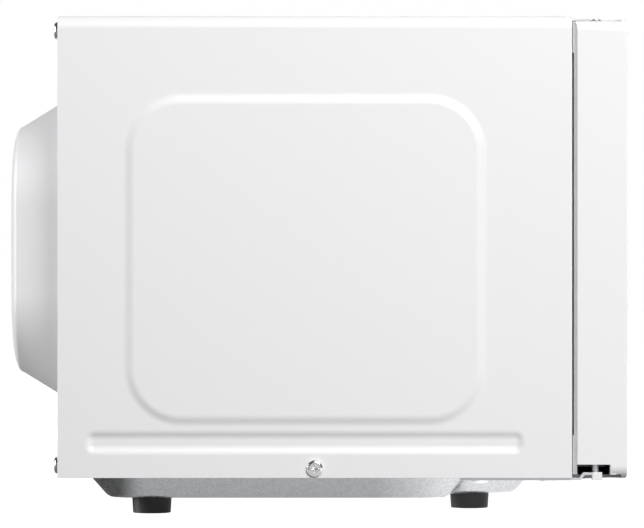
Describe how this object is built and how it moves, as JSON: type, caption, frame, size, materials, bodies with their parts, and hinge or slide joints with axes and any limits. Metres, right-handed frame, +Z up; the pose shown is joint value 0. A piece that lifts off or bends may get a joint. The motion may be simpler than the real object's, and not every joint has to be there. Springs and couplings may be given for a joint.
{
  "type": "microwave oven",
  "caption": "Compact countertop microwave oven: white pressed cabinet with a bulged rear wall, side-hinged door with dark window, turntable, push keys and door button.",
  "frame": {"origin": "on the table, under the middle of the whole oven (door front to rear bulge, side to side)", "axes": "+X from the hinge side to the control side, +Y from the door to the rear wall, +Z up"},
  "size_m": [0.444, 0.3204, 0.2593],
  "materials": {
    "white_paint": "satin powder paint on pressed steel",
    "oven_enamel": "light grey oven paint",
    "zinc_steel": "galvanised sheet with a fine spangle",
    "white_plastic": "fine satin moulding",
    "grey_keys": "satin moulding",
    "black_rubber": "matt moulded rubber",
    "black_glass": "back-printed dark glass",
    "clear_glass": "clear tempered glass",
    "zinc_screws": "bright zinc plate",
    "fin_aluminium": "bare rolled",
    "core_iron": "varnished laminations",
    "copper_wire": "enamelled winding wire",
    "dark_plastic": "matt moulding",
    "nylon": "natural nylon or acetal",
    "circuit_board": "green solder resist",
    "mica": "mica sheet",
    "spring_steel": "drawn wire",
    "smoked_window": "smoked acrylic",
    "ceramic": "ceramic and copper tube"
  },
  "bodies": {
    "cabinet": {"cabinet_cover": "white_paint", "rear_panel": "white_paint", "base_pan": "zinc_steel", "rubber_feet": "black_rubber", "front_plate": "white_paint", "oven_cavity": "oven_enamel", "mica_cover": "mica", "waveguide": "zinc_steel", "magnetron_yoke": "zinc_steel", "magnetron_fins": "fin_aluminium", "magnetron_tube": "ceramic", "filter_box": "zinc_steel", "transformer_core": "core_iron", "transformer_windings": "copper_wire", "hv_capacitor": "fin_aluminium", "capacitor_clamp": "zinc_steel", "hv_diode": "dark_plastic", "fan_shroud": "dark_plastic", "fan_motor": "core_iron", "air_duct": "dark_plastic", "lamp_holder": "zinc_steel", "oven_lamp": "clear_glass", "thermal_cutout": "dark_plastic", "noise_filter": "circuit_board", "cord_gland": "dark_plastic", "turntable_motor": "zinc_steel", "hinge_lower": "zinc_steel", "hinge_upper": "zinc_steel", "hinge_cap": "nylon", "hinge_screws": "zinc_screws", "case_screws": "zinc_screws", "latch_board": "nylon", "micro_switches": "dark_plastic", "lever_spring": "spring_steel", "control_panel": "white_plastic", "display_window": "smoked_window", "control_board": "circuit_board"},
    "door": {"door_frame": "white_plastic", "door_glass": "black_glass", "door_panel": "white_paint", "choke_cover": "dark_plastic", "hook_spring": "spring_steel"},
    "hooks": {"door_hooks": "nylon"},
    "button": {"door_button": "white_plastic"},
    "lever": {"release_lever": "nylon"},
    "fan": {"fan_blade": "nylon"},
    "coupler": {"turntable_coupler": "nylon"},
    "plate": {"glass_plate": "clear_glass"},
    "ring": {"roller_ring": "nylon"},
    "wheel_1": {"roller_wheel_1": "nylon"},
    "wheel_2": {"roller_wheel_2": "nylon"},
    "wheel_3": {"roller_wheel_3": "nylon"},
    "key_1": {"key_1": "grey_keys"},
    "key_2": {"key_2": "grey_keys"},
    "key_3": {"key_3": "grey_keys"},
    "key_4": {"key_4": "grey_keys"},
    "key_5": {"key_5": "grey_keys"},
    "key_6": {"key_6": "grey_keys"},
    "key_7": {"key_7": "grey_keys"},
    "key_8": {"key_8": "grey_keys"}
  },
  "joints": [
    {"name": "door_swing", "type": "hinge", "parent": "cabinet", "child": "door", "pos_m": [-0.214, -0.14405, 0.138], "axis": [0, 0, -1], "range_deg": [0, 110]},
    {"name": "door_button_press", "type": "slide", "parent": "cabinet", "child": "button", "axis": [0, 1, 0], "range_m": [0, 0.0044], "stiffness_N_per_m": 400, "springref_m": -0.002},
    {"name": "release_lever_turn", "type": "hinge", "parent": "cabinet", "child": "lever", "pos_m": [0.12, -0.126, 0.062], "axis": [1, 0, 0], "range_deg": [0, 15.8]},
    {"name": "hook_lift", "type": "slide", "parent": "door", "child": "hooks", "axis": [0, 0, 1], "range_m": [0, 0.00303], "deforming": ["hook_spring"]},
    {"name": "fan_spin", "type": "hinge", "parent": "cabinet", "child": "fan", "pos_m": [0.1593, 0.11, 0.1887], "axis": [0, -1, 0], "continuous": true},
    {"name": "turntable_spin", "type": "hinge", "parent": "cabinet", "child": "coupler", "pos_m": [-0.0505, -0.00535, 0.04], "axis": [0, 0, 1], "continuous": true},
    {"name": "plate_lift", "type": "slide", "parent": "coupler", "child": "plate", "axis": [0, 0, 1], "range_m": [0, 0.04]},
    {"name": "ring_spin", "type": "hinge", "parent": "cabinet", "child": "ring", "pos_m": [-0.0505, -0.00535, 0.047], "axis": [0, 0, 1], "continuous": true},
    {"name": "wheel_1_spin", "type": "hinge", "parent": "ring", "child": "wheel_1", "pos_m": [0.0415, -0.00535, 0.047], "axis": [1, 0, 0], "continuous": true},
    {"name": "wheel_2_spin", "type": "hinge", "parent": "ring", "child": "wheel_2", "pos_m": [-0.0965, 0.07432, 0.047], "axis": [-0.5, 0.866, 0], "continuous": true},
    {"name": "wheel_3_spin", "type": "hinge", "parent": "ring", "child": "wheel_3", "pos_m": [-0.0965, -0.08502, 0.047], "axis": [-0.5, -0.866, 0], "continuous": true},
    {"name": "key_1_press", "type": "slide", "parent": "cabinet", "child": "key_1", "axis": [0, 1, 0], "range_m": [0, 0.0008], "stiffness_N_per_m": 500, "springref_m": -0.001},
    {"name": "key_2_press", "type": "slide", "parent": "cabinet", "child": "key_2", "axis": [0, 1, 0], "range_m": [0, 0.0008], "stiffness_N_per_m": 500, "springref_m": -0.001},
    {"name": "key_3_press", "type": "slide", "parent": "cabinet", "child": "key_3", "axis": [0, 1, 0], "range_m": [0, 0.0008], "stiffness_N_per_m": 500, "springref_m": -0.001},
    {"name": "key_4_press", "type": "slide", "parent": "cabinet", "child": "key_4", "axis": [0, 1, 0], "range_m": [0, 0.0008], "stiffness_N_per_m": 500, "springref_m": -0.001},
    {"name": "key_5_press", "type": "slide", "parent": "cabinet", "child": "key_5", "axis": [0, 1, 0], "range_m": [0, 0.0008], "stiffness_N_per_m": 500, "springref_m": -0.001},
    {"name": "key_6_press", "type": "slide", "parent": "cabinet", "child": "key_6", "axis": [0, 1, 0], "range_m": [0, 0.0008], "stiffness_N_per_m": 500, "springref_m": -0.001},
    {"name": "key_7_press", "type": "slide", "parent": "cabinet", "child": "key_7", "axis": [0, 1, 0], "range_m": [0, 0.0008], "stiffness_N_per_m": 500, "springref_m": -0.001},
    {"name": "key_8_press", "type": "slide", "parent": "cabinet", "child": "key_8", "axis": [0, 1, 0], "range_m": [0, 0.0008], "stiffness_N_per_m": 500, "springref_m": -0.001}
  ],
  "couplings": [
    {"joint": "release_lever_turn", "follows": "door_button_press", "rad_per_m": 62.5},
    {"joint": "hook_lift", "follows": "door_button_press", "ratio": 0.6875},
    {"joint": "ring_spin", "follows": "turntable_spin", "ratio": 0.5},
    {"joint": "wheel_1_spin", "follows": "turntable_spin", "ratio": -6.8657},
    {"joint": "wheel_2_spin", "follows": "turntable_spin", "ratio": -6.8657},
    {"joint": "wheel_3_spin", "follows": "turntable_spin", "ratio": -6.8657}
  ]
}
